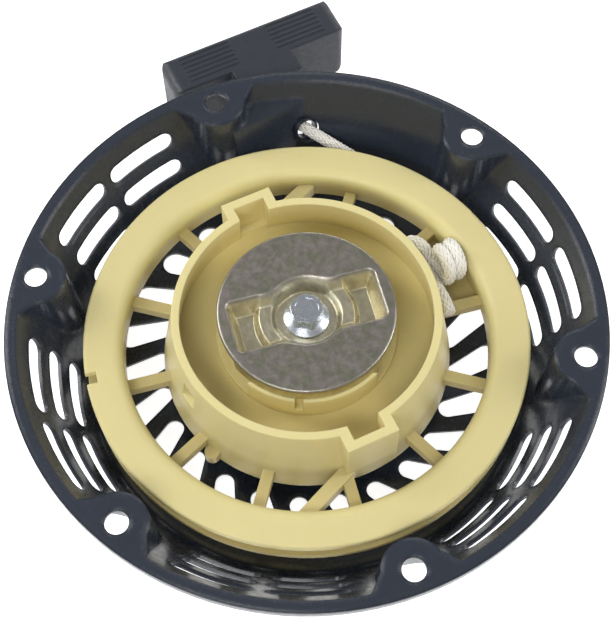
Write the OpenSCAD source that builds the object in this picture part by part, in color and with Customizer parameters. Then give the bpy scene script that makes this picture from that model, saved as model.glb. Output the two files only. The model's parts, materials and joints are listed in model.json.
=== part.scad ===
// Recoil starter for a small engine.
// Millimetres. +Z is the crank axis, pointing at the engine. The origin is the centre of the
// bolt circle on the mounting face, and +Y runs to the side where the rope leaves.

/* [Mounting] */
// Bolt circle diameter
pcd = 216; // [215.5:0.1:216.5]
// Bolt hole diameter in the six ears
hole_d = 9; // [8.6:0.1:9.6]

/* [Housing] */
// Thickness of the pressed sheet
sheet = 1.6; // [1.4:0.1:1.8]
// Outer radius of the mounting flange
flange_r = 116.8; // [116.4:0.1:117.4]
// Depth of the bowl from the mounting face to the inside of its back
bowl_depth = 47; // [46:0.5:49]
// Width of the side air slots, measured down the wall
slot_w = 7.6; // [6:0.2:8]

/* [Reel] */
// Outer radius of the rope reel
reel_r = 88.6; // [88:0.1:89]
// Radius of the opening inside the rim, where the spokes end
rim_in_r = 73; // [72.6:0.1:73.2]
// Width of each spoke
spoke_w = 4.6; // [3.6:0.2:6]

/* [Rope] */
// Diameter of the rope where it runs free
rope_d = 5.2; // [4.8:0.1:5.4]

/* [Drive] */
// Radius of the steel guide plate
plate_r = 34.8; // [34.6:0.1:35]
// Width across the flats of the centre bolt
bolt_flats = 12; // [11.8:0.1:12.4]

/* [Handle] */
// Length of the pull handle
grip_length = 81; // [76:1:86]

/* [Hidden] */
$fn = 96;
eps = 0.01;
gap = 0.3;                    // air kept between parts that pass each other
bolt_circle_r = pcd / 2;
ear_count = 6;

// Housing wall: a cone that narrows towards the back
wall_angle = 27;
wall_slope = tan(wall_angle);
mouth_r = 112.2;
sheet_level = sheet / cos(wall_angle);
back_z = -bowl_depth;
corner_f = 6;
corner_z = back_z + corner_f;
corner_r = mouth_r + wall_slope * corner_z - corner_f / cos(wall_angle);
lip_drop = 4;
plateau_z = -33;
plateau_r = 46;
plateau_foot_r = 51;
ear_r = 12;
ear_foot_r = 15;
ear_flare = 20;

// Air slots
slot_rows = [-10.8, -22.7, -34.6];
slot_arc = 17.2;
slot_step = 19.4;
slot_sectors = [-150, -90, -30, 30, 150];
slot_end_step = 0.06;          // the round ends are a hair narrower than the slot
vent_count = 24;
vent_mid_r = 68.6;
vent_half = 13;
vent_swirl = 28;
vent_phase = 10.5;
vent_in_r = 3.8;
vent_out_r = 5.2;

// Where the rope passes through the wall
exit_dir = 129;
exit_face = 89.6;
exit_from = -62;
exit_to = -18;
exit_lean = 19;
exit_roof_z = -8;
guide_x = -17.4;
guide_y = 101.1;
guide_hole_r = 5.4;
guide_bore_r = 4.4;
guide_lip_r = 6.8;
guide_lip_t = 0.9;
guide_in = 1.6;
guide_roll_r = 0.4;

// Reel
rim_top_z = -14.6;
rim_low_z = -27.5;
groove_w = 7.5;
groove_z = -21.35;
groove_floor_r = 74.6;
rim_round = 4.5;
web_z = -14;
web_t = 3;
collar_top_z = 2;
collar_top_r = 52.4;
collar_low_z = -31.8;
collar_low_r = 57.8;
collar_t = 3.1;
spring_room_r = 51;
hub_r = 35.8;
hub_in_r = 32.2;
hub_top_z = -1.2;
hub_floor_z = -11.8;
sleeve_r = 13;
spoke_count = 12;
spoke_turn = 24.5;
spoke_top_z = -23;
spoke_t = 4.6;
spoke_in_r = 56;
pocket_turn = 124.5;
pocket_in_r = 44;
pocket_out_r = 55;
pocket_w = 12.8;
block_in_r = 50;
block_out_r = 58.6;
block_low_z = -26;
block_w = 21;
block_rib_w = 5.4;
window_turn = -137.5;
window_z = -13.2;
window_w = 8;
rim_notch_turn = -157.5;
rim_notch_depth = 4.4;
rim_notch_w = 4.8;
hub_notch_turn = -85.2;
hub_notch_z = -9;
hub_notch_w = 3.2;
stud_turn = -119.6;
knot_floor_z = -30;
knot_floor_t = 2.5;
knot_turn = 40;
knot_r = 65;
tail_turns = [33.5, 26.5, 19.5];
tail_at = 59.1;
tail_z = -20.4;
tail_r = 2.3;

// Screws that hold the spring cover
screw_turn = 60;
screw_at = 54.4;
screw_r = 1.25;

// Centre post, seen from its riveted foot upward
post_r = 8;
arbor_r = 10.5;
arbor_top_z = -17.3;
post_top_z = -6;
post_foot_r = 15;
post_foot_t = 2.4;
bolt_r = 4;

// Guide plate
plate_top_z = 5.4;
plate_t = 1.6;
skirt_low_z = -0.8;
skirt_arc = 108;
skirt_turn = -79;
skirt_inset = 0.15;
channel_turn = 24.5;
channel_half = 28.2;
channel_w = 19;
well_r = 12.4;
well_z = -2;
inner_floor_z = 0.5;
outer_floor_z = -3;
floor_step_r = 19.5;

// Pawls
pawl_top_z = -5.4;
pawl_low_z = -11.2;
pawl_pin_r = 2.5;
pawl_pin_at = 26;
pawl_turn = -45;
pawl_nose_at = 33;
pawl_nose_turn = 25;
peg_r = 1.8;
peg_top_z = 2.6;
peg_along = 20;
peg_side = -14.3;

// Rope route
rope_r = rope_d / 2;
joint_swell = 0.15;           // the ball at each bend of the rope is this much larger
wound_t = 3;                  // the wound rope is pressed flat
wound_w = 7;
wound_step = wound_t + 0.1;
wound_out_r = 82.4;
guide_dist = norm([guide_x, guide_y]);
guide_turn = atan2(guide_y, guide_x);
leave_turn = guide_turn - acos(wound_out_r / guide_dist);
leave_x = wound_out_r * cos(leave_turn);
leave_y = wound_out_r * sin(leave_turn);
run_dir = leave_turn + 90;
run_out = 7;

// Handle, in its own frame: X along the grip, Y the way it is pulled
handle_turn = 35.4;
handle_x = 38.5;
stem_in = 107;
bar_in = 123;
bar_out = 141.8;
bar_corner_r = 4;
stem_w = 28;
grip_h = 29.5;
grip_edge_r = 2.5;
grip_end_r = 4.5;
grip_z = -21.3;
knot_room_r = 7.5;
knot_room_in = 130;
mouth_in = stem_in - 1.5;
rib_count = 6;
rib_pitch = 2.5;
rib_w = 0.8;
rib_h = 0.25;
rib_length = 23;
rib_mid_x = 20.5;
rib_first_y = 126.4;

// Recoil spring
spring_t = 0.7;
spring_w = 10;
spring_low_z = -30.6;
spring_pitch = 2.9;
spring_in_r = 12;
spring_half_turns = 25;

// Point in plan at a radius and an angle
function polar(r, a) = r * [cos(a), sin(a)];

// A tube standing on the XY plane
module ring(outer, inner, height) {
    difference() {
        cylinder(r = outer, h = height);
        translate([0, 0, -1]) cylinder(r = inner, h = height + 2);
    }
}

// Place children at a radius and an angle, turned to face outward
module at(turn, radius, z = 0) {
    rotate([0, 0, turn]) translate([radius, 0, z]) children();
}

// Straight length of round bar between two points
module rod(a, b, r) {
    d = b - a;
    length = norm(d);
    translate(a)
        rotate([0, acos(d[2] / length), atan2(d[1], d[0])])
            cylinder(r = r, h = length);
}

// Ball that fills the joint between two rods; its poles point along the rope
module bend(point, dir, r) {
    translate(point) rotate([0, 90, dir]) sphere(r = r + joint_swell);
}

// Wall radius of the bowl's inside at a height
function wall_r(z) = mouth_r + wall_slope * z;

// ---------------------------------------------------------------- housing

// Half section of the bowl, grown outward by one sheet thickness when skin is 1,
// and carried on above the mounting face by the given height
module bowl_half(skin, above) {
    grow = skin * sheet;
    f = corner_f + grow;
    low = back_z - grow;
    tangent_r = corner_r + f * cos(wall_angle);
    tangent_z = corner_z - f * sin(wall_angle);
    polygon([
        [0, above], [mouth_r + skin * sheet_level + wall_slope * above, above],
        [tangent_r, tangent_z], [corner_r, corner_z], [corner_r, low], [0, low]
    ]);
    translate([corner_r, corner_z]) circle(r = f);
}

// Raised middle of the back, as a solid plug standing on the back
module plateau(drop) {
    rotate_extrude()
        polygon([
            [0, plateau_z - drop], [plateau_r - drop / 2, plateau_z - drop],
            [plateau_foot_r - drop / 2, back_z - sheet - 1], [0, back_z - sheet - 1]
        ]);
}

// One ear, either its outside (inset 0) or the hollow behind it (inset = sheet)
module ear(inset) {
    at(0, bolt_circle_r, back_z - 2) {
        cylinder(r1 = ear_foot_r - inset, r2 = ear_r - inset, h = -back_z + 2 - inset);
        linear_extrude(height = -back_z + 2 - inset)
            polygon([
                [-3, -ear_r + inset], [5.5, -ear_flare + 1.4 * inset],
                [5.5, ear_flare - 1.4 * inset], [-3, ear_r - inset]
            ]);
    }
}

module ears(inset) {
    for (i = [0:ear_count - 1]) rotate([0, 0, i * 360 / ear_count]) ear(inset);
}

// Flat wall square to the rope, pressed into the bowl beside one ear
module rope_boss(inset) {
    length = exit_to - exit_from - inset;
    rotate([0, 0, exit_dir])
        intersection() {
            translate([exit_face + inset, exit_from, groove_z])
                rotate([0, exit_lean, 0])
                    translate([0, 0, -40]) cube([60, length, 80]);
            translate([exit_face - 20, exit_from, back_z - 4])
                cube([80, length, exit_roof_z - inset - back_z + 4]);
        }
}

// A band round the wall, square to it, used to cut one curved slot
module slot_band(z, arc) {
    n = [cos(wall_angle), -sin(wall_angle)];
    s = [sin(wall_angle), cos(wall_angle)];
    mid = [wall_r(z), z];
    rotate([0, 0, -arc / 2])
        rotate_extrude(angle = arc)
            polygon([
                mid - 3 * n - slot_w / 2 * s, mid + 5 * n - slot_w / 2 * s,
                mid + 5 * n + slot_w / 2 * s, mid - 3 * n + slot_w / 2 * s
            ]);
}

module side_slot(z) {
    end_arc = slot_w / 2 / wall_r(z) * 180 / PI;
    straight = slot_arc - 2 * end_arc;
    slot_band(z, straight);
    for (side = [-1, 1])
        rotate([0, 0, side * straight / 2])
            translate([wall_r(z), 0, z])
                rotate([0, 90 + wall_angle, 0])
                    translate([0, 0, -3]) cylinder(r = slot_w / 2 - slot_end_step, h = 8);
}

module side_slots() {
    for (sector = slot_sectors, side = [-0.5, 0.5], z = slot_rows)
        rotate([0, 0, sector + side * slot_step]) side_slot(z);
}

// Slanted slot in the back, wider at its outer end
module back_vent() {
    straight = 2 * vent_half - vent_in_r - vent_out_r;
    lean = asin((vent_out_r - vent_in_r) / straight);
    translate([-vent_half + vent_in_r, 0])
        linear_extrude(height = 20) {
            circle(r = vent_in_r);
            translate([straight, 0]) circle(r = vent_out_r);
            polygon([
                vent_in_r * [-sin(lean), cos(lean)], vent_in_r * [-sin(lean), -cos(lean)],
                [straight, 0] + vent_out_r * [-sin(lean), -cos(lean)],
                [straight, 0] + vent_out_r * [-sin(lean), cos(lean)]
            ]);
        }
}

module back_vents() {
    for (i = [0:vent_count - 1])
        at(vent_phase + i * 360 / vent_count, vent_mid_r, back_z - 10)
            rotate([0, 0, vent_swirl]) back_vent();
}

module housing() {
    color([0.06, 0.06, 0.07])
    difference() {
        union() {
            rotate_extrude() bowl_half(1, 0);
            translate([0, 0, -sheet]) cylinder(r = flange_r, h = sheet);
            translate([0, 0, -lip_drop]) ring(flange_r, flange_r - sheet, lip_drop);
        }
        difference() {
            rotate_extrude() bowl_half(0, 1);
            plateau(0);
            intersection() {
                union() {
                    ears(0);
                    rope_boss(0);
                }
                translate([0, 0, back_z - 5]) cylinder(r = flange_r + 5, h = -back_z + 5);
            }
        }
        plateau(sheet);
        // The hollows behind the ears and the rope wall stop at the turned-down lip
        difference() {
            union() {
                ears(sheet);
                rope_boss(sheet);
            }
            translate([0, 0, -lip_drop - 1]) ring(flange_r + 20, flange_r - sheet, lip_drop + 1);
        }
        for (i = [0:ear_count - 1])
            at(i * 360 / ear_count, bolt_circle_r, -10) cylinder(d = hole_d, h = 20);
        side_slots();
        back_vents();
        translate([0, 0, plateau_z - 5]) cylinder(r = post_r + 1, h = 10);
        translate([guide_x, guide_y, groove_z])
            rotate([0, 90 + exit_lean, exit_dir])
                translate([0, 0, -8]) cylinder(r = guide_hole_r, h = 16);
    }
}

// Eyelet that the rope runs through: rolled over inside the wall, lipped outside it
module rope_guide() {
    color([0.1, 0.1, 0.11])
    translate([guide_x, guide_y, groove_z])
        rotate([0, 90 + exit_lean, exit_dir]) {
            translate([0, 0, -guide_in])
                ring(guide_hole_r - 0.15, guide_bore_r, guide_in + sheet + guide_lip_t);
            translate([0, 0, sheet]) ring(guide_lip_r, guide_bore_r, guide_lip_t);
            translate([0, 0, -guide_in])
                rotate_extrude() translate([guide_bore_r + guide_roll_r, 0]) circle(r = guide_roll_r);
        }
}

// ---------------------------------------------------------------- centre

module centre_post() {
    color([0.6, 0.61, 0.62])
    difference() {
        union() {
            translate([0, 0, plateau_z - sheet]) cylinder(r = post_r + 0.95, h = sheet);
            translate([0, 0, plateau_z]) cylinder(r = arbor_r, h = arbor_top_z - plateau_z);
            translate([0, 0, arbor_top_z - eps])
                cylinder(r = post_r, h = post_top_z - arbor_top_z + eps);
            translate([0, 0, plateau_z - sheet - post_foot_t])
                cylinder(r = post_foot_r, h = post_foot_t);
        }
        translate([0, 0, post_top_z - 18]) cylinder(r = bolt_r + 0.03, h = 20);
        translate([arbor_r - 3, -1, spring_low_z]) cube([6, 2, spring_w + 1]);
    }
}

// Stiffening ring behind the raised middle of the back
module post_collar() {
    color([0.55, 0.55, 0.56])
    translate([0, 0, plateau_z - sheet - 1.2]) ring(26, post_foot_r + 0.2, 1.2);
}

// Flat spiral made of half circles whose centres alternate
module recoil_spring() {
    color([0.33, 0.35, 0.4])
    translate([0, 0, spring_low_z]) {
        for (k = [0:spring_half_turns - 1])
            translate([(k % 2) * spring_pitch / 2, 0, 0])
                rotate([0, 0, 180 * k])
                    rotate_extrude(angle = 180)
                        translate([spring_in_r + k * spring_pitch / 2, 0])
                            square([spring_t, spring_w]);
        translate([arbor_r - 2.6, -spring_t, 0])
            cube([spring_in_r - arbor_r + 2.6 + spring_t, spring_t, spring_w]);
    }
}

module thrust_washer() {
    color([0.75, 0.75, 0.77])
    translate([0, 0, post_top_z]) ring(12, bolt_r + 0.1, 1.2);
}

module friction_spring() {
    color([0.4, 0.42, 0.46])
    translate([0, 0, post_top_z + 1.2]) ring(9.5, bolt_r + 0.4, 0.8);
}

module flange_bolt() {
    seat_z = well_z + gap;
    color([0.8, 0.81, 0.83])
    translate([0, 0, seat_z])
        difference() {
            union() {
                cylinder(r = 8.9, h = 1);
                translate([0, 0, 1 - eps]) cylinder(r1 = 8.9, r2 = 6.2, h = 1.4);
                intersection() {
                    cylinder(r = bolt_flats / sqrt(3), h = 8, $fn = 6);
                    translate([0, 0, -1]) cylinder(r1 = 14, r2 = bolt_flats / 2 - 0.4, h = 9.6);
                }
                translate([0, 0, -20]) cylinder(r = bolt_r, h = 20.5);
            }
            translate([0, 0, 7.6]) cylinder(r = 4.6, h = 2);
        }
}

// ---------------------------------------------------------------- reel

module rim_half() {
    difference() {
        union() {
            translate([rim_in_r, rim_low_z])
                square([reel_r - rim_in_r - 0.4, rim_top_z - rim_round - rim_low_z]);
            translate([rim_in_r + rim_round, rim_top_z - rim_round - eps])
                square([reel_r - rim_in_r - rim_round - 1, rim_round + eps]);
            translate([rim_in_r + rim_round, rim_top_z - rim_round]) circle(r = rim_round);
            translate([reel_r - 1, rim_top_z - 1]) circle(r = 1);
            translate([reel_r - 2, rim_top_z - 3]) square([2, 2]);
        }
        translate([groove_floor_r, groove_z - groove_w / 2]) square([20, groove_w]);
    }
}

module reel_half() {
    polygon([
        [post_r + 0.05, arbor_top_z + gap], [post_r + 0.05, post_top_z - gap],
        [sleeve_r, post_top_z - gap], [sleeve_r, hub_floor_z], [hub_in_r, hub_floor_z],
        [hub_in_r, hub_top_z], [hub_r - 0.8, hub_top_z], [hub_r, hub_top_z - 0.8],
        [hub_r, web_z], [collar_top_r - collar_t + 1.2, web_z],
        [collar_top_r - collar_t, collar_top_z], [collar_top_r, collar_top_z],
        [collar_low_r, collar_low_z + 1.8], [collar_low_r, collar_low_z],
        [spring_room_r, collar_low_z], [spring_room_r, web_z - web_t],
        [sleeve_r, web_z - web_t], [sleeve_r, arbor_top_z + gap]
    ]);
}

// Straight rib between two points in plan
module rib(a, b, w, z, h) {
    d = b - a;
    translate([a[0], a[1], z])
        rotate([0, 0, atan2(d[1], d[0])])
            translate([0, -w / 2, 0]) cube([norm(d), w, h]);
}

module spokes() {
    for (i = [0:spoke_count - 1])
        at(spoke_turn + i * 360 / spoke_count, spoke_in_r)
            translate([0, -spoke_w / 2, spoke_top_z - spoke_t])
                cube([rim_in_r + 1 - spoke_in_r, spoke_w, spoke_t]);
}

// Rectangular bulge in the collar, and the rib that ties it to the rim
module collar_block() {
    at(pocket_turn, block_in_r, block_low_z)
        translate([0, -block_w / 2, 0])
            cube([block_out_r - block_in_r, block_w, collar_top_z - block_low_z]);
    rib(polar(block_in_r + 5, pocket_turn - 5), polar(rim_in_r + 1, pocket_turn - 26),
        block_rib_w, spoke_top_z - spoke_t + 0.3, spoke_t + 2);
}

module collar_pocket() {
    at(pocket_turn, pocket_in_r, web_z)
        translate([0, -pocket_w / 2, 0]) cube([pocket_out_r - pocket_in_r, pocket_w, 30]);
}

// Floor between two spokes that the knot of the rope sits on
module knot_floor() {
    intersection() {
        translate([0, 0, knot_floor_z]) ring(rim_in_r + 0.5, spoke_in_r, knot_floor_t);
        rotate([0, 0, spoke_turn]) translate([0, 0, knot_floor_z - 1])
            linear_extrude(height = knot_floor_t + 2)
                polygon([[0, 0], [reel_r, 0], polar(reel_r, 360 / spoke_count)]);
    }
}

// Gap in the hub wall that a pawl swings out through
module hub_window() {
    at(20, 20, hub_floor_z) translate([0, -28, 0]) cube([20, 51, 20]);
}

module reel() {
    color([0.88, 0.83, 0.63])
    difference() {
        union() {
            rotate_extrude() reel_half();
            rotate_extrude() rim_half();
            spokes();
            knot_floor();
            for (side = [0, 180]) rotate([0, 0, side]) collar_block();
            at(stud_turn, 58.6, collar_low_z + 0.2) cylinder(r = 3, h = 5.1);
        }
        translate([0, 0, web_z - web_t - 20]) cylinder(r = spring_room_r, h = 20);
        for (side = [0, 180]) rotate([0, 0, side]) {
            collar_pocket();
            hub_window();
        }
        at(window_turn, 46, window_z) translate([0, -window_w / 2, 0]) cube([14, window_w, window_w]);
        at(rim_notch_turn, reel_r - rim_notch_depth, rim_top_z - 5)
            translate([0, -rim_notch_w / 2, 0]) cube([8, rim_notch_w, 10]);
        at(hub_notch_turn, hub_r - 2, hub_notch_z)
            translate([0, -hub_notch_w / 2, 0]) cube([6, hub_notch_w, 12]);
        at(knot_turn, rim_in_r - 3, groove_z) rotate([0, 90, 0]) cylinder(r = 2.9, h = 8);
        for (i = [0:2])
            at(screw_turn + i * 120, screw_at, collar_low_z - 1) cylinder(r = screw_r, h = 9);
        for (side = [0, 180])
            at(pawl_turn + side, pawl_pin_at, hub_floor_z - 2) cylinder(r = pawl_pin_r, h = 4);
    }
}

module spring_cover() {
    color([0.7, 0.7, 0.72])
    difference() {
        translate([0, 0, collar_low_z - 0.6]) ring(57, 20, 0.6);
        for (i = [0:2])
            at(screw_turn + i * 120, screw_at, collar_low_z - 1) cylinder(r = screw_r, h = 9);
    }
}

module cover_screw(i) {
    color([0.7, 0.7, 0.72])
    at(screw_turn + i * 120, screw_at) {
        translate([0, 0, collar_low_z - 2.2]) cylinder(r = 2.4, h = 1.6);
        translate([0, 0, collar_low_z - 1]) cylinder(r = screw_r, h = 8.5);
    }
}

// ---------------------------------------------------------------- rope

// Flattened section of the wound rope, with its corners taken off
module wound_section(shrink = 0) {
    x = wound_t / 2 - shrink;
    y = wound_w / 2 - shrink;
    cut = 0.3 * wound_t;
    polygon([
        [x - cut, -y], [x, -y + cut], [x, y - cut], [x - cut, y],
        [-x + cut, y], [-x, y - cut], [-x, -y + cut], [-x + cut, -y]
    ]);
}

// Just over two turns, built of half circles; it ends where the rope leaves the reel
module rope_coil() {
    half_turns = 4;
    first_arc = leave_turn - knot_turn;
    overlap = 0.3;
    color([0.93, 0.92, 0.87])
    translate([0, 0, groove_z])
        rotate([0, 0, leave_turn]) {
            for (k = [0:half_turns - 1])
                translate([-(k % 2) * wound_step / 2, 0, 0])
                    rotate([0, 0, -180 * (k + 1)])
                        rotate_extrude(angle = 180)
                            translate([wound_out_r - k * wound_step / 2, 0])
                                wound_section();
            rotate([0, 0, -first_arc])
                rotate_extrude(angle = first_arc + overlap)
                    translate([wound_out_r - half_turns * wound_step / 2, 0])
                        wound_section(shrink = 0.1);
        }
}

module rope_knot() {
    color([0.93, 0.92, 0.87])
    at(knot_turn + 3, knot_r, -18.5) {
        sphere(r = 7.2);
        translate([1, -5, 2]) sphere(r = 5.2);
    }
    color([0.93, 0.92, 0.87])
    at(knot_turn, 0)
        rod([knot_r, 0, groove_z], [groove_floor_r - gap, 0, groove_z], rope_r);
}

// Loose end of the rope, laid along the collar over the top of a spoke
module rope_tail() {
    points = [for (turn = tail_turns) concat(polar(tail_at, turn), [tail_z])];
    color([0.93, 0.92, 0.87]) {
        rod(points[0], points[1], tail_r);
        bend(points[1], tail_turns[1] - 90, tail_r);
        rod(points[1], points[2], tail_r);
    }
}

// The rope's points outside the reel: at the guide, at the handle's mouth and inside the handle
guide_point = [guide_x, guide_y, groove_z];
mouth_point = along_handle(mouth_in);
seat_point = along_handle(knot_room_in + 1.4);
outer_dir = (mouth_point - guide_point) / norm(mouth_point - guide_point);

function along_handle(out) =
    concat(polar(handle_x, handle_turn) + polar(out, handle_turn + 90), [grip_z]);

// It starts just clear of the circle that the turning coil sweeps
module rope_run() {
    swept_r = wound_out_r + wound_t / 2 + gap;
    from_leave = sqrt(pow(swept_r, 2) - pow(wound_out_r - rope_r, 2));
    start = [leave_x, leave_y, groove_z] + from_leave * [cos(run_dir), sin(run_dir), 0];
    color([0.93, 0.92, 0.87]) {
        rod(start, guide_point, rope_r);
        bend(guide_point, run_dir, rope_r);
        rod(guide_point, guide_point + run_out * outer_dir, rope_r);
    }
}

// ---------------------------------------------------------------- pawls and guide plate

pawl_pivot = polar(pawl_pin_at, pawl_turn);
pawl_nose = polar(pawl_nose_at, pawl_nose_turn);
peg_at = polar(peg_along, channel_turn) + polar(peg_side, channel_turn + 90);

module pawl_pin(side) {
    color([0.66, 0.67, 0.7])
    at(pawl_turn + side, pawl_pin_at) {
        translate([0, 0, hub_floor_z - 1.9]) cylinder(r = pawl_pin_r - 0.02, h = 1.9 + eps);
        translate([0, 0, hub_floor_z]) cylinder(r = pawl_pin_r, h = pawl_top_z - hub_floor_z + 0.4);
    }
}

module pawl(side) {
    color([0.5, 0.5, 0.52])
    rotate([0, 0, side]) {
        translate([0, 0, pawl_low_z])
            difference() {
                linear_extrude(height = pawl_top_z - pawl_low_z) {
                    translate(pawl_pivot) circle(r = 4.6);
                    translate(peg_at) circle(r = 4);
                    polygon([
                        pawl_pivot + [4.4, -1.4], peg_at + [4.4, -1], pawl_nose + [1.6, -6],
                        pawl_nose, pawl_nose + [-3.4, -3.2], peg_at + [-3.9, 1],
                        pawl_pivot + [-4.4, 1.4]
                    ]);
                }
                translate([pawl_pivot[0], pawl_pivot[1], -1])
                    cylinder(r = pawl_pin_r + 0.05, h = 12);
            }
        translate([peg_at[0], peg_at[1], pawl_top_z - eps])
            cylinder(r = peg_r, h = peg_top_z - pawl_top_z);
    }
}

// Two turns of wire round the pawl's pin, above the pawl
module pawl_spring(side) {
    color([0.75, 0.75, 0.77])
    at(pawl_turn + side, pawl_pin_at)
        for (k = [0:1])
            translate([0, 0, pawl_top_z + 0.75 + k * 0.7])
                rotate_extrude() translate([3.4, 0]) circle(r = 0.4, $fn = 8);
}

module channel_plan(grow) {
    rotate([0, 0, channel_turn])
        square([2 * (channel_half + grow), channel_w + 2 * grow], center = true);
    circle(r = well_r + grow);
}

// Space inside the pressed channel: the bolt well and two stepped floors
module channel_void() {
    depth_top = plate_top_z + 1;
    intersection() {
        translate([0, 0, outer_floor_z]) linear_extrude(height = depth_top - outer_floor_z)
            channel_plan(0);
        union() {
            translate([0, 0, inner_floor_z]) cylinder(r = 60, h = 20);
            translate([0, 0, well_z]) cylinder(r = well_r, h = 20);
            translate([0, 0, outer_floor_z]) ring(60, floor_step_r, 20);
        }
    }
}

module channel_shell() {
    intersection() {
        translate([0, 0, outer_floor_z - plate_t])
            linear_extrude(height = plate_top_z - outer_floor_z + plate_t)
                channel_plan(plate_t);
        union() {
            translate([0, 0, inner_floor_z - plate_t]) cylinder(r = 60, h = 20);
            translate([0, 0, well_z - plate_t]) cylinder(r = well_r + plate_t, h = 20);
            translate([0, 0, outer_floor_z - plate_t]) ring(60, floor_step_r - plate_t, 20);
        }
        translate([0, 0, -20]) cylinder(r = plate_r - 1, h = 40);
    }
}

module skirt() {
    rotate([0, 0, skirt_turn - skirt_arc / 2])
        rotate_extrude(angle = skirt_arc)
            translate([plate_r - skirt_inset - plate_t, skirt_low_z])
                square([plate_t, plate_top_z - skirt_low_z - plate_t / 2]);
}

module guide_plate() {
    color([0.62, 0.6, 0.52])
    difference() {
        union() {
            translate([0, 0, plate_top_z - plate_t]) cylinder(r = plate_r, h = plate_t);
            channel_shell();
            for (side = [0, 180]) rotate([0, 0, side]) skirt();
        }
        channel_void();
        translate([0, 0, -10]) cylinder(r = bolt_r + 0.06, h = 20);
    }
}

// ---------------------------------------------------------------- handle

module in_handle() {
    rotate([0, 0, handle_turn]) translate([handle_x, 0, grip_z]) children();
}

// Children run along the pull, from a distance out of the crank axis
module along_pull(from) {
    in_handle() translate([0, from, 0]) rotate([-90, 0, 0]) children();
}

module rounded_plan(x, y, r) {
    for (sx = [-1, 1], sy = [-1, 1])
        translate([sx * (x / 2 - r), sy * (y / 2 - r)]) circle(r = r);
    square([x, y - 2 * r], center = true);
    square([x - 2 * r, y], center = true);
}

module grip_body() {
    bar_mid = (bar_in + bar_out) / 2;
    intersection() {
        translate([0, 0, -grip_h / 2])
            linear_extrude(height = grip_h) {
                translate([0, bar_mid]) rounded_plan(grip_length, bar_out - bar_in, bar_corner_r);
                translate([-stem_w / 2 + 2, stem_in]) square([stem_w - 4, bar_in - stem_in]);
                translate([-stem_w / 2, stem_in + 5]) square([stem_w, bar_in - stem_in]);
                translate([0, stem_in + 5]) circle(r = 5);
            }
        translate([0, (stem_in + bar_out) / 2, 0])
            rotate([90, 0, 90])
                translate([0, 0, -grip_length])
                    linear_extrude(height = 2 * grip_length)
                        rounded_plan(bar_out - stem_in, grip_h, grip_edge_r);
        translate([0, bar_out + 1, 0])
            rotate([90, 0, 0])
                linear_extrude(height = bar_out - stem_in + 2)
                    rounded_plan(grip_length, grip_h, grip_end_r);
    }
}

// Fine ribs along the bar, in two groups, on its two flat faces
module grip_ribs() {
    for (side = [-1, 1], face = [-1, 1], i = [0:rib_count - 1])
        translate([side * rib_mid_x - rib_length / 2, rib_first_y + i * rib_pitch, 0])
            translate([0, 0, face * grip_h / 2 - rib_h])
                cube([rib_length, rib_w, 2 * rib_h]);
}

module handle_grip() {
    color([0.2, 0.22, 0.25])
    difference() {
        in_handle() {
            grip_body();
            grip_ribs();
        }
        along_pull(stem_in - 1) cylinder(r = rope_r + 0.4, h = 40);
        along_pull(knot_room_in) cylinder(r = knot_room_r, h = 20);
    }
}

module handle_washer() {
    color([0.75, 0.75, 0.77])
    along_pull(knot_room_in) ring(knot_room_r - 0.2, rope_r + 0.3, 1.5);
}

module handle_knot() {
    color([0.93, 0.92, 0.87])
    along_pull(knot_room_in + 1.5) translate([0, 0, 4]) {
        sphere(r = 4);
        translate([1.6, 0.8, 0.6]) sphere(r = 3.4);
        translate([-1.6, -0.6, 0.4]) sphere(r = 3.4);
    }
}

module handle_cap() {
    color([0.16, 0.17, 0.2])
    along_pull(bar_out - 1.8) cylinder(r = knot_room_r - 0.1, h = 1.6);
}

// Rope from outside the guide into the handle
module rope_pull() {
    color([0.93, 0.92, 0.87]) {
        rod(guide_point + (run_out + 0.4) * outer_dir, mouth_point, rope_r);
        bend(mouth_point, handle_turn + 90, rope_r);
        rod(mouth_point, seat_point, rope_r);
    }
}

housing();
rope_guide();
centre_post();
post_collar();
recoil_spring();
thrust_washer();
friction_spring();
flange_bolt();
rope_run();
reel();
spring_cover();
cover_screw(0);  // cover_screw_1
cover_screw(1);  // cover_screw_2
cover_screw(2);  // cover_screw_3
rope_coil();
rope_knot();
rope_tail();
pawl_pin(0);  // pawl_pin_1
pawl_pin(180);  // pawl_pin_2
pawl_spring(0);  // pawl_spring_1
pawl_spring(180);  // pawl_spring_2
guide_plate();
pawl(0);  // pawl_1
pawl(180);  // pawl_2
handle_grip();
handle_washer();
handle_knot();
handle_cap();
rope_pull();
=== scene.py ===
"""Looks of a recoil starter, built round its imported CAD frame. Metres, +Z towards the engine."""

import json
import math

import bpy
import numpy as np
from mathutils import Matrix, Vector


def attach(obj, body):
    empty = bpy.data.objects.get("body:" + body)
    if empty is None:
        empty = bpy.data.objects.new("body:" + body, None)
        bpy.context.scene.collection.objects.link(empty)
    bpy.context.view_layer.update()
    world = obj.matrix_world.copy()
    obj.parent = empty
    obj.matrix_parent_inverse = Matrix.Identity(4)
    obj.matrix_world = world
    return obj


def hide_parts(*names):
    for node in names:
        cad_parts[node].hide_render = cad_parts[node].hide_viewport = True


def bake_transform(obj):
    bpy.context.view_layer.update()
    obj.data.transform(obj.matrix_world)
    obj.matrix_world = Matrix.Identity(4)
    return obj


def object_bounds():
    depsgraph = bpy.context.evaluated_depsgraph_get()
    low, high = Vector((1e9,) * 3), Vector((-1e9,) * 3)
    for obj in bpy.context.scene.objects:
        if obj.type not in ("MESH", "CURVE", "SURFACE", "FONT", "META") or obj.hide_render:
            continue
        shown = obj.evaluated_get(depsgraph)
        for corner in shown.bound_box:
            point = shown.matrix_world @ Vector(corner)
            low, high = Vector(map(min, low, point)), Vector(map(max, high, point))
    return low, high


MM = 0.001
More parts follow.
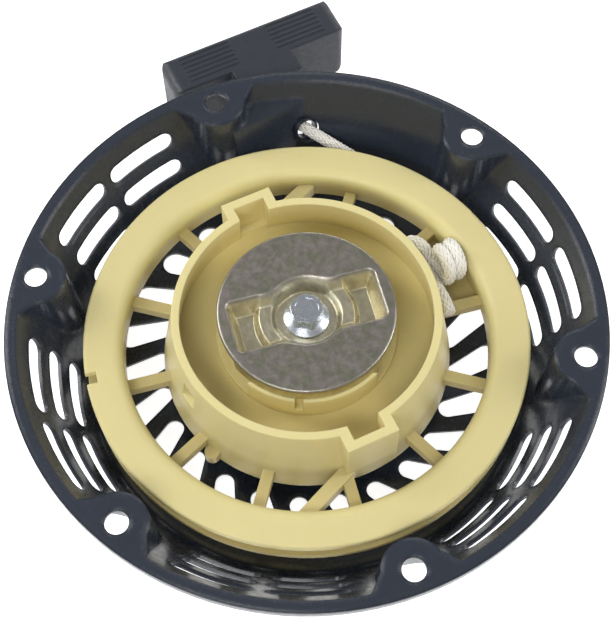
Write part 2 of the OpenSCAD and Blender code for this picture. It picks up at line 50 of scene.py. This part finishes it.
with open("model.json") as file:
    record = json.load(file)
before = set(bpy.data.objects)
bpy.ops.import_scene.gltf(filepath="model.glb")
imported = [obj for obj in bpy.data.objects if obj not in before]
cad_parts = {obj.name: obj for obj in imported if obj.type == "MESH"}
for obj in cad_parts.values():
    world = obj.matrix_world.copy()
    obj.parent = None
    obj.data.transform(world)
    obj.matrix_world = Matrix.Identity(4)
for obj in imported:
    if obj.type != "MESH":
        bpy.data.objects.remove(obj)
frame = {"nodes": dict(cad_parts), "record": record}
cad_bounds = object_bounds()
nodes = frame["nodes"]


# ---------------------------------------------------------------- measures, in millimetres

# Rope: the groove it lies in, its own radius, and the eyelet it leaves the housing through
GROOVE_Z = -21.35
GROOVE_FLOOR_R = 74.6
ROPE_R = 2.6
GUIDE = (-17.4, 101.1, GROOVE_Z)
RUN_OUT = 7.0

# Rope wound in the groove: outermost centre line, its step per turn, half thickness and half width
WOUND_R = 82.4
WOUND_STEP = 3.1
WOUND_TURNS = 2
WOUND_HALF = (1.5, 3.5)
LEAVE_TURN = math.atan2(GUIDE[1], GUIDE[0]) - math.acos(WOUND_R / math.hypot(GUIDE[0], GUIDE[1]))

# Rope in the handle: the handle's own direction, its mouth and the seat of the knot in it
HANDLE_TURN = math.radians(35.4)
HANDLE_X = 38.5
GRIP_Z = -21.3
MOUTH_OUT = 105.5
STEM_MIDDLE_OUT = 118.5
SEAT_OUT = 131.4

# Stopper knot in the reel, wound round a line that points away from the crank axis
KNOT_TURN = math.radians(40)
KNOT_MIDDLE_R = 67.6
KNOT_HALF = 4.7
KNOT_Z = -18.6
KNOT_ROPE_R = 2.7
KNOT_WINDINGS = 1.9
KNOT_FIRST_TURN = math.radians(-60)
KNOT_WINDING_R = 2.3 * KNOT_ROPE_R
KNOT_POINTS = 30
RIM_HOLE_RADII = (GROOVE_FLOOR_R - 0.3, 73.4)

# Points of the rope's loose end as radius, turn in degrees and height: under the knot, round a
# small loop over one spoke, back along the collar and over the next spoke
TAIL = [
    (63.4, 46, -23.0),
    (64.2, 50, -20.9),
    (63.4, 54, -20.2),
    (61.2, 55.6, -20.0),
    (59.0, 53.5, -20.1),
    (58.4, 48, -20.6),
    (58.3, 41, -21.4),
    (58.3, 34, -21.4),
    (58.5, 26.5, -20.4),
    (58.8, 20.5, -20.3),
]

# Pressed guide plate, with two skirts that hang from its edge (their turns are in degrees)
PLATE_R = 34.8
PLATE_TOP = 5.4
PLATE_T = 1.6
PLATE_EDGE_R = 1.1
PLATE_HOLE_R = 4.06
SKIRT_LOW = -0.8
SKIRT_MIDDLES = (-79.0, 101.0)
SKIRT_HALF = 54.0
SKIRT_END = 1.2

# Channel across the plate: a bar that blends into a round well, with steps in its floor
CHANNEL_TURN = math.radians(24.5)
CHANNEL_HALF = (29.2, 10.5)
CHANNEL_CORNER = 2.2
WELL_R = 14.4
WELL_BLEND = 6.0
WELL_FLOOR = -2.0
STEPS = ((11.6, 2.5), (18.2, -3.5))
STEP_W = 2.6
WALL_IN = 3.1
WALL_W = 4.4
WALL_POWER = 1.4


# ---------------------------------------------------------------- node materials


class Paint:
    """A Principled material and short ways to add nodes to it."""

    def __init__(self, name):
        self.material = bpy.data.materials.new(name)
        self.material.use_nodes = True
        self.tree = self.material.node_tree
        self.shader = self.tree.nodes["Principled BSDF"]
        self.coords = self.add("ShaderNodeTexCoord").outputs["Object"]

    def add(self, kind, **settings):
        node = self.tree.nodes.new(kind)
        for key, value in settings.items():
            setattr(node, key, value)
        return node

    def feed(self, node, values):
        for key, value in values.items():
            if isinstance(value, bpy.types.NodeSocket):
                self.tree.links.new(value, node.inputs[key])
            else:
                node.inputs[key].default_value = value

    def set(self, **values):
        """Shader inputs by name, with _ for a space."""
        self.feed(self.shader, {k.replace("_", " "): v for k, v in values.items()})

    def noise(self, scale, detail=3.0, roughness=0.5):
        node = self.add("ShaderNodeTexNoise")
        self.feed(node, {"Vector": self.coords, "Scale": scale})
        self.feed(node, {"Detail": detail, "Roughness": roughness})
        return node.outputs["Fac"]

    def remap(self, value, low, high, to_low, to_high):
        """The value from one range to another, with soft ends."""
        node = self.add("ShaderNodeMapRange", interpolation_type="SMOOTHSTEP")
        self.feed(node, {"Value": value, "From Min": low, "From Max": high})
        self.feed(node, {"To Min": to_low, "To Max": to_high})
        return node.outputs["Result"]

    def mix(self, share, first, second):
        node = self.add("ShaderNodeMix", data_type="RGBA")
        self.feed(node, {0: share, 6: first, 7: second})
        return node.outputs[2]

    def height(self):
        """Distance above the mounting face, in metres."""
        node = self.add("ShaderNodeSeparateXYZ")
        self.feed(node, {0: self.coords})
        return node.outputs["Z"]

    def radius(self):
        """Distance from the crank axis, in metres."""
        flat = self.add("ShaderNodeVectorMath", operation="MULTIPLY")
        self.feed(flat, {0: self.coords, 1: (1, 1, 0)})
        length = self.add("ShaderNodeVectorMath", operation="LENGTH")
        self.feed(length, {0: flat.outputs["Vector"]})
        return length.outputs["Value"]

    def bump(self, height, strength, distance, edge=0.0):
        """Fine relief of a distance in metres, over edges rounded by a radius in metres."""
        node = self.add("ShaderNodeBump")
        self.feed(node, {"Height": height, "Strength": strength, "Distance": distance})
        if edge:
            bevel = self.add("ShaderNodeBevel", samples=6)
            self.feed(bevel, {"Radius": edge})
            self.tree.links.new(bevel.outputs["Normal"], node.inputs["Normal"])
        self.tree.links.new(node.outputs["Normal"], self.shader.inputs["Normal"])


def colour(red, green, blue):
    return (red, green, blue, 1.0)


def black_enamel():
    paint = Paint("black_enamel")
    patches = paint.noise(35, 2)
    paint.set(
        Base_Color=paint.mix(patches, colour(0.020, 0.027, 0.042), colour(0.027, 0.034, 0.051)),
        Roughness=paint.remap(paint.noise(240, 3), 0.3, 0.7, 0.2, 0.3),
        Coat_Weight=0.3,
        Coat_Roughness=0.1,
    )
    paint.bump(paint.noise(700, 2), 0.06, 0.0003, edge=0.003)
    return paint.material


def cream_nylon():
    """Translucent nylon, with painted shade: a darker, deeper amber painted down among the spokes
    and inside the collar.
    """
    paint = Paint("cream_nylon")
    flow = paint.noise(22, 3)
    dust = paint.remap(paint.noise(160, 5, 0.7), 0.58, 0.8, 0, 0.25)
    light = paint.mix(flow, colour(0.80, 0.71, 0.36), colour(0.74, 0.65, 0.31))
    # Painted shade: a darker, deeper amber painted on the lowest parts, among the spokes.
    depth_painted_light = paint.remap(paint.height(), -0.0235, -0.0165, 0.75, 0)
    # Painted shade: a deeper amber painted inside the collar's cup.
    cup_painted_shade = paint.remap(paint.height(), -0.008, 0.001, 0.5, 0)
    cup_painted_shade = paint.remap(paint.radius(), 0.0515, 0.0525, cup_painted_shade, 0)
    body = paint.mix(depth_painted_light, light, colour(0.50, 0.41, 0.17))
    body = paint.mix(cup_painted_shade, body, colour(0.60, 0.48, 0.16))
    paint.set(
        Base_Color=paint.mix(dust, body, colour(0.62, 0.54, 0.27)),
        Roughness=paint.remap(paint.noise(300, 3), 0.3, 0.7, 0.34, 0.46),
        Subsurface_Weight=0.35,
        Subsurface_Scale=0.004,
    )
    paint.shader.inputs["Subsurface Radius"].default_value = (1.0, 0.75, 0.35)
    paint.bump(paint.noise(420, 3), 0.1, 0.0003, edge=0.0008)
    return paint.material


def rope_fibre():
    """White polyester, a little soiled, with painted shade darkening the crevices between the
    strands.
    """
    paint = Paint("rope_fibre")
    shape = paint.add("ShaderNodeNewGeometry")
    soil = paint.remap(paint.noise(110, 4), 0.4, 0.75, 0, 0.5)
    clean = paint.mix(soil, colour(1.0, 0.98, 0.92), colour(0.92, 0.87, 0.74))
    # Painted shade: a dark colour painted into the crevices between the strands.
    crevice_painted_shade = paint.remap(shape.outputs["Pointiness"], 0.42, 0.49, 1, 0)
    paint.set(
        Base_Color=paint.mix(crevice_painted_shade, clean, colour(0.38, 0.33, 0.22)),
        Roughness=paint.remap(paint.noise(600, 2), 0.3, 0.7, 0.28, 0.42),
        Sheen_Weight=0.5,
    )
    paint.bump(paint.noise(2600, 3), 0.6, 0.0003)
    return paint.material


def metal(name, first, second, roughness, relief=0.15):
    """Metal of two tones and a range of roughness, with a fine grain."""
    paint = Paint(name)
    low, high = roughness
    paint.set(
        Base_Color=paint.mix(paint.noise(125, 4, 0.6), first, second),
        Metallic=1.0,
        Roughness=paint.remap(paint.noise(500, 4, 0.6), 0.3, 0.7, low, high),
    )
    paint.bump(paint.noise(1000, 3), relief, 0.0002, edge=0.0003)
    return paint.material


def chromated_plate():
    """Dull zinc on the face; down in the pressed channel a brighter yellow, partly the chromate's
    own tint and partly a painted highlight for the channel floor's reflections.
    """
    paint = Paint("chromated_plate")
    clouds = paint.remap(paint.noise(230, 7, 0.72), 0.36, 0.64, 0, 1)
    face = paint.mix(clouds, colour(0.33, 0.33, 0.25), colour(0.43, 0.38, 0.36))
    # Channel colour: the chromate's own yellow, made brighter as a painted highlight for the
    # floor's reflections.
    hollow_tint_and_highlight = paint.mix(clouds, colour(0.74, 0.69, 0.52), colour(0.60, 0.55, 0.38))
    depth_painted_light = paint.remap(paint.height(), 0.0032, 0.0052, 1, 0)
    wear = paint.noise(420, 5, 0.7)
    paint.set(
        Base_Color=paint.mix(depth_painted_light, face, hollow_tint_and_highlight),
        Metallic=1.0,
        Roughness=paint.remap(wear, 0.3, 0.7, 0.3, 0.46),
    )
    paint.bump(paint.noise(900, 5, 0.75), 0.5, 0.0002)
    return paint.material


def grip_plastic():
    paint = Paint("grip_plastic")
    tone = paint.noise(60, 3)
    paint.set(
        Base_Color=paint.mix(tone, colour(0.021, 0.026, 0.036), colour(0.028, 0.033, 0.044)),
        Roughness=paint.remap(paint.noise(500, 3), 0.3, 0.7, 0.42, 0.56),
    )
    paint.bump(paint.noise(1500, 2), 0.25, 0.0002, edge=0.0015)
    return paint.material


def studio_floor():
    paint = Paint("studio_floor")
    tone = paint.noise(6, 2)
    paint.set(
        Base_Color=paint.mix(tone, colour(0.88, 0.88, 0.88), colour(0.90, 0.90, 0.90)),
        Roughness=0.9,
        Emission_Color=colour(1, 1, 1),
        Emission_Strength=0.85,
    )
    return paint.material


DARK_GREY = colour(0.3, 0.3, 0.3)
STEEL_GREY = colour(0.52, 0.52, 0.53)
WARM_GREY = colour(0.62, 0.61, 0.60)
ZINC_DARK = colour(0.62, 0.67, 0.74)
ZINC_LIGHT = colour(0.74, 0.77, 0.82)
BLUED_DARK = colour(0.2, 0.22, 0.27)
BLUED_LIGHT = colour(0.28, 0.3, 0.35)

# By the slot names of the frame's record
MATERIALS = {
    "black_paint": black_enamel(),
    "nylon": cream_nylon(),
    "cord": rope_fibre(),
    "chromate": chromated_plate(),
    "zinc": metal("bright_zinc", ZINC_DARK, ZINC_LIGHT, (0.2, 0.32), relief=0.04),
    "steel": metal("turned_steel", STEEL_GREY, WARM_GREY, (0.22, 0.36)),
    "spring_steel": metal("spring_steel", BLUED_DARK, BLUED_LIGHT, (0.25, 0.4)),
    "pawl_steel": metal("sintered_steel", DARK_GREY, STEEL_GREY, (0.4, 0.6), relief=0.4),
    "grip_plastic": grip_plastic(),
}


def dress(obj, slot):
    obj.data.materials.clear()
    obj.data.materials.append(MATERIALS[slot])


for part in frame["record"]["subparts"]:
    dress(nodes[part["node"]], part["material_slot"])


# ---------------------------------------------------------------- mesh helpers


def mesh_object(name, points, faces, slot, sharp):
    """A piece from points in millimetres, shaded smooth except over edges sharper than an angle."""
    mesh = bpy.data.meshes.new(name)
    mesh.from_pydata([tuple(p) for p in np.asarray(points) * MM], [], faces)
    mesh.polygons.foreach_set("use_smooth", [True] * len(mesh.polygons))
    mesh.set_sharp_from_angle(angle=math.radians(sharp))
    mesh.update()
    obj = bpy.data.objects.new(name, mesh)
    bpy.context.scene.collection.objects.link(obj)
    dress(obj, slot)
    return obj


def grid_faces(rows, columns, wrap_rows=False):
    """Quads of a grid of points whose columns run all the way round."""
    faces = []
    for i in range(rows if wrap_rows else rows - 1):
        below, above = i * columns, (i + 1) % rows * columns
        for j in range(columns):
            k = (j + 1) % columns
            faces.append((below + j, below + k, above + k, above + j))
    return faces


def smooth(value):
    """From 0 to 1 with a soft start and end."""
    t = np.clip(value, 0, 1)
    return t * t * (3 - 2 * t)


def catmull(points, spacing):
    """Points at an even spacing on a smooth curve through the given ones, and how far along."""
    steps = 24
    p = np.array(points, float)
    p = np.vstack([2 * p[0] - p[1], p, 2 * p[-1] - p[-2]])
    curve = []
    for a, b, c, d in zip(p[:-3], p[1:-2], p[2:-1], p[3:]):
        t = np.linspace(0, 1, steps, endpoint=False)[:, None]
        cubic = 2 * b + (c - a) * t + (2 * a - 5 * b + 4 * c - d) * t**2
        curve.append((cubic + (3 * b - a - 3 * c + d) * t**3) / 2)
    curve = np.vstack([*curve, p[-2:-1]])
    along = np.concatenate([[0], np.cumsum(np.linalg.norm(np.diff(curve, axis=0), axis=1))])
    even = np.linspace(0, along[-1], max(int(along[-1] / spacing), 2))
    return np.stack([np.interp(even, along, curve[:, k]) for k in range(3)], axis=1), even


def carried_frames(line):
    """Two directions square to the line at each of its points, carried along it without a twist."""
    ahead = np.gradient(line, axis=0)
    ahead /= np.linalg.norm(ahead, axis=1)[:, None]
    side = np.cross(ahead[0], (0, 0, 1.0))
    frames = []
    for t in ahead:
        side = side - t * (side @ t)
        side /= np.linalg.norm(side)
        frames.append((side.copy(), np.cross(t, side)))
    return frames


def weave(turn, along):
    """How far the strands stand out, from 0 to 1, at each turn of a ring at this distance along."""
    strands = 9
    float_length = 3.2
    plumpness = 0.45
    left = strands * turn + along / float_length
    right = strands * turn - along / float_length
    a = np.cos(math.pi * (left % 1 - 0.5))
    b = np.cos(math.pi * (right % 1 - 0.5))
    left_on_top = (np.floor(left) + np.floor(right)) % 2 == 0
    return np.where(left_on_top, a**plumpness * (0.5 + 0.5 * b), b**plumpness * (0.5 + 0.5 * a))


def braid(name, points, half, body=None, spacing=0.25, around=112):
    """Braided rope on a smooth curve through the points, by its half thickness and half width."""
    relief = 0.26
    line, along = catmull(points, spacing)
    turn = np.arange(around) / around
    angle = 2 * math.pi * turn
    rings = []
    for centre, distance, (u, v) in zip(line, along, carried_frames(line)):
        r = 1 - relief + relief * weave(turn, distance)
        across = half[0] * r * np.cos(angle)
        up = half[1] * r * np.sin(angle)
        rings.append(centre + across[:, None] * u + up[:, None] * v)
    count = len(rings)
    shell = np.vstack([*rings, line[:1], line[-1:]])
    faces = grid_faces(count, around)
    first, last = count * around, count * around + 1
    for j in range(around):
        k = (j + 1) % around
        faces.append((first, k, j))
        faces.append((last, (count - 1) * around + j, (count - 1) * around + k))
    rope = mesh_object(name, shell, faces, "cord", sharp=75)
    if body:
        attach(rope, body)
    return rope


# ---------------------------------------------------------------- guide plate


def channel_depth(x, y):
    """Height of the plate's upper face: a stepped channel with a round well in the middle."""
    along = x * math.cos(CHANNEL_TURN) + y * math.sin(CHANNEL_TURN)
    across = -x * math.sin(CHANNEL_TURN) + y * math.cos(CHANNEL_TURN)
    r = np.hypot(x, y)
    past_end = np.abs(along) - CHANNEL_HALF[0] + CHANNEL_CORNER
    past_side = np.abs(across) - CHANNEL_HALF[1] + CHANNEL_CORNER
    outside = np.hypot(np.maximum(past_end, 0), np.maximum(past_side, 0))
    bar = outside + np.minimum(np.maximum(past_end, past_side), 0) - CHANNEL_CORNER
    well = r - WELL_R
    blend = np.clip(0.5 + (bar - well) / WELL_BLEND, 0, 1)
    outline = bar * (1 - blend) + well * blend - WELL_BLEND / 2 * blend * (1 - blend)
    floor = WELL_FLOOR
    for step_r, step_rise in STEPS:
        floor = floor + step_rise * smooth((r - step_r) / STEP_W)
    wall = np.sin(math.pi / 2 * np.clip((outline + WALL_IN) / WALL_W, 0, 1)) ** WALL_POWER
    return floor + (PLATE_TOP - floor) * wall


def skirt_low(turn_deg):
    """Height of the plate's lower edge round its circumference."""
    low = np.full_like(turn_deg, PLATE_TOP - PLATE_T)
    for middle in SKIRT_MIDDLES:
        off = np.abs((turn_deg - middle + 180) % 360 - 180)
        share = smooth((SKIRT_HALF - off) / SKIRT_END)
        low = low + (SKIRT_LOW - (PLATE_TOP - PLATE_T)) * share
    return low


def plate_turns():
    """Turns of the plate's columns in degrees, closer together at the ends of the skirts."""
    even = np.arange(0, 360, 0.6)
    ends = [m + s * SKIRT_HALF for m in SKIRT_MIDDLES for s in (-1, 1)]
    extra = [e + d for e in ends for d in np.arange(-1.6, 1.6, 0.2)]
    return np.unique(np.round(np.concatenate([even, np.array(extra) % 360]), 3))


def guide_plate():
    """Pressed disc as rings of points: out over its face, down the edge, back in underneath."""
    turns = plate_turns()
    low = skirt_low(turns)
    edge = PLATE_EDGE_R
    lip = 0.15
    inner_lip = 0.1
    chamfer = 0.3
    inner_r = PLATE_R - PLATE_T
    radii = np.linspace(PLATE_HOLE_R, PLATE_R - edge, 130)
    arc = np.radians(np.linspace(0, 90, 7))[1:]
    angle = np.radians(turns)
    unit = np.stack([np.cos(angle), np.sin(angle)], axis=1)
    rows = []

    def add_row(r, z):
        rows.append(np.column_stack([unit * r, np.broadcast_to(z, len(turns))]))

    for r in radii:
        add_row(r, channel_depth(*(unit * r).T))
    for a in arc:
        add_row(PLATE_R - edge + edge * math.sin(a), PLATE_TOP - edge + edge * math.cos(a))
    for share in (0.35, 0.7, 1.0):
        add_row(PLATE_R, PLATE_TOP - edge + (low + lip - PLATE_TOP + edge) * share)
    add_row(PLATE_R - lip, low)
    add_row(inner_r + inner_lip, low)
    inner_top = PLATE_TOP - PLATE_T - chamfer
    for share in (0.5, 1.0):
        add_row(inner_r, low + (inner_top - low) * share)
    for r in radii[::-1]:
        under_r = min(r, inner_r - chamfer)
        add_row(under_r, channel_depth(*(unit * under_r).T) - PLATE_T)
    faces = [f[::-1] for f in grid_faces(len(rows), len(turns), wrap_rows=True)]
    plate = mesh_object("guide_plate_pressed", np.vstack(rows), faces, "chromate", sharp=50)
    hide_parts("guide_plate")
    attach(plate, "guide_plate")


guide_plate()


# ---------------------------------------------------------------- rope


def polar(r, turn, z):
    return np.array([r * math.cos(turn), r * math.sin(turn), z])


def round_rope(radius):
    """Half thickness and half width of a rope that isn't flattened."""
    return (radius, radius)


def along_handle(out):
    """Point on the rope's line through the handle, at a distance out from the crank axis."""
    across = polar(HANDLE_X, HANDLE_TURN, GRIP_Z)
    return across + polar(out, HANDLE_TURN + math.pi / 2, 0)


def wound_rope():
    """The rope's turns in the groove, from where it leaves them in to its hole in the rim."""
    whole_arc = 2 * math.pi * WOUND_TURNS + LEAVE_TURN - KNOT_TURN
    points = []
    for back in np.arange(0, whole_arc, math.radians(8)):
        r = WOUND_R - WOUND_STEP * min(back / (2 * math.pi), WOUND_TURNS)
        points.append(polar(r, LEAVE_TURN - back, GROOVE_Z))
    coil = braid("rope_wound", points, WOUND_HALF, "reel", spacing=0.6, around=48)
    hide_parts("rope_coil")


def rope_runs():
    """Rope from the reel to the guide, and on into the handle: that part is left in world space, on
    no body.
    """
    guide = np.array(GUIDE)
    start = polar(WOUND_R, LEAVE_TURN, GROOVE_Z)
    mouth = along_handle(MOUTH_OUT)
    outward = (mouth - guide) / np.linalg.norm(mouth - guide)
    out = guide + RUN_OUT * outward
    near_share = 0.08
    before_guide = guide + (start - guide) * near_share
    inside = [start, (start + guide) / 2, before_guide, (guide + out) / 2, out]
    run = braid("rope_to_guide", inside, round_rope(ROPE_R), "housing")
    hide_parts("rope_run")
    in_handle = [along_handle(STEM_MIDDLE_OUT), along_handle(SEAT_OUT)]
    outside = [out, (out + mouth) / 2, mouth, *in_handle]
    pull = braid("rope_to_handle", outside, round_rope(ROPE_R))
    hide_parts("rope_pull")
    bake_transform(pull)


def end_knot():
    """Stopper knot that holds the rope's end in the reel: wound turns, then a loose end."""
    outward = polar(1, KNOT_TURN, 0)
    along = np.array([-outward[1], outward[0], 0])
    lift = np.array([0, 0, 1.0])
    middle = KNOT_MIDDLE_R * outward + KNOT_Z * lift
    turns = []
    for share in np.linspace(0, 1, KNOT_POINTS):
        angle = KNOT_FIRST_TURN + share * 2 * math.pi * KNOT_WINDINGS
        ring = math.cos(angle) * along + math.sin(angle) * lift
        place = middle + KNOT_HALF * (1 - 2 * share) * outward
        turns.append(place + KNOT_WINDING_R * ring)
    start = [polar(r, KNOT_TURN, GROOVE_Z) for r in RIM_HOLE_RADII]
    end = [polar(r, math.radians(turn), z) for r, turn, z in TAIL]
    rope = braid("rope_end_knot", [*start, *turns, *end], round_rope(KNOT_ROPE_R), "reel")
    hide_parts("rope_knot", "rope_tail")


wound_rope()
rope_runs()
end_knot()


# ---------------------------------------------------------------- studio


def camera():
    """Looks down into the bowl, at 27 degrees to the crank axis."""
    distance = 547.2
    shift = (0.324, 2.81)
    roll = math.radians(-0.401)
    back = Vector((0.07744, -0.45362, 0.88784)).normalized()
    level = Vector((0.98574, 0.16827, 0.0)).normalized()
    rise = back.cross(level)
    right = math.cos(roll) * level + math.sin(roll) * rise
    up = -math.sin(roll) * level + math.cos(roll) * rise
    data = bpy.data.cameras.new("camera")
    data.sensor_width = 36
    data.lens = 82.5
    obj = bpy.data.objects.new("camera", data)
    bpy.context.scene.collection.objects.link(obj)
    spot = (right * shift[0] + up * shift[1] + back * distance) * MM
    turn = Matrix((right, up, back)).transposed().to_4x4()
    obj.matrix_world = Matrix.Translation(spot) @ turn
    bpy.context.scene.camera = obj


def softbox(name, spot, size, power):
    """A rectangular light, in metres and watts, that shines into the bowl."""
    aim = Vector((0, 0, -0.02))
    data = bpy.data.lights.new(name, "AREA")
    data.shape = "RECTANGLE"
    data.size, data.size_y = size
    data.energy = power
    obj = bpy.data.objects.new(name, data)
    obj.location = spot
    obj.rotation_euler = (Vector(spot) - aim).to_track_quat("Z", "Y").to_euler()
    bpy.context.scene.collection.objects.link(obj)


def studio_ground():
    """A pale floor just under the object, in metres."""
    half = 4.0
    gap = 0.0002
    low = min(corner[2] for corner in cad_bounds) - gap
    corners = [(-half, -half, low), (half, -half, low), (half, half, low), (-half, half, low)]
    mesh = bpy.data.meshes.new("floor")
    mesh.from_pydata(corners, [], [(0, 1, 2, 3)])
    floor = bpy.data.objects.new("floor", mesh)
    floor.data.materials.append(studio_floor())
    bpy.context.scene.collection.objects.link(floor)


def studio():
    """Dim white surround and four softboxes, none where level faces mirror it to the camera."""
    softbox("left", (-0.8, 0.2, 0.5), (0.3, 0.6), 4.5)
    softbox("right", (0.8, 0.2, 0.45), (0.3, 0.6), 3.5)
    softbox("back", (0.0, 0.9, 0.3), (0.6, 0.2), 1.5)
    softbox("front", (-0.15, -0.75, 0.8), (0.6, 0.3), 4.8)
    world = bpy.data.worlds.new("studio")
    world.use_nodes = True
    background = world.node_tree.nodes["Background"]
    background.inputs["Color"].default_value = colour(1, 1, 1)
    background.inputs["Strength"].default_value = 0.33
    bpy.context.scene.world = world
    bpy.context.scene.view_settings.view_transform = "Standard"


camera()
studio_ground()
studio()
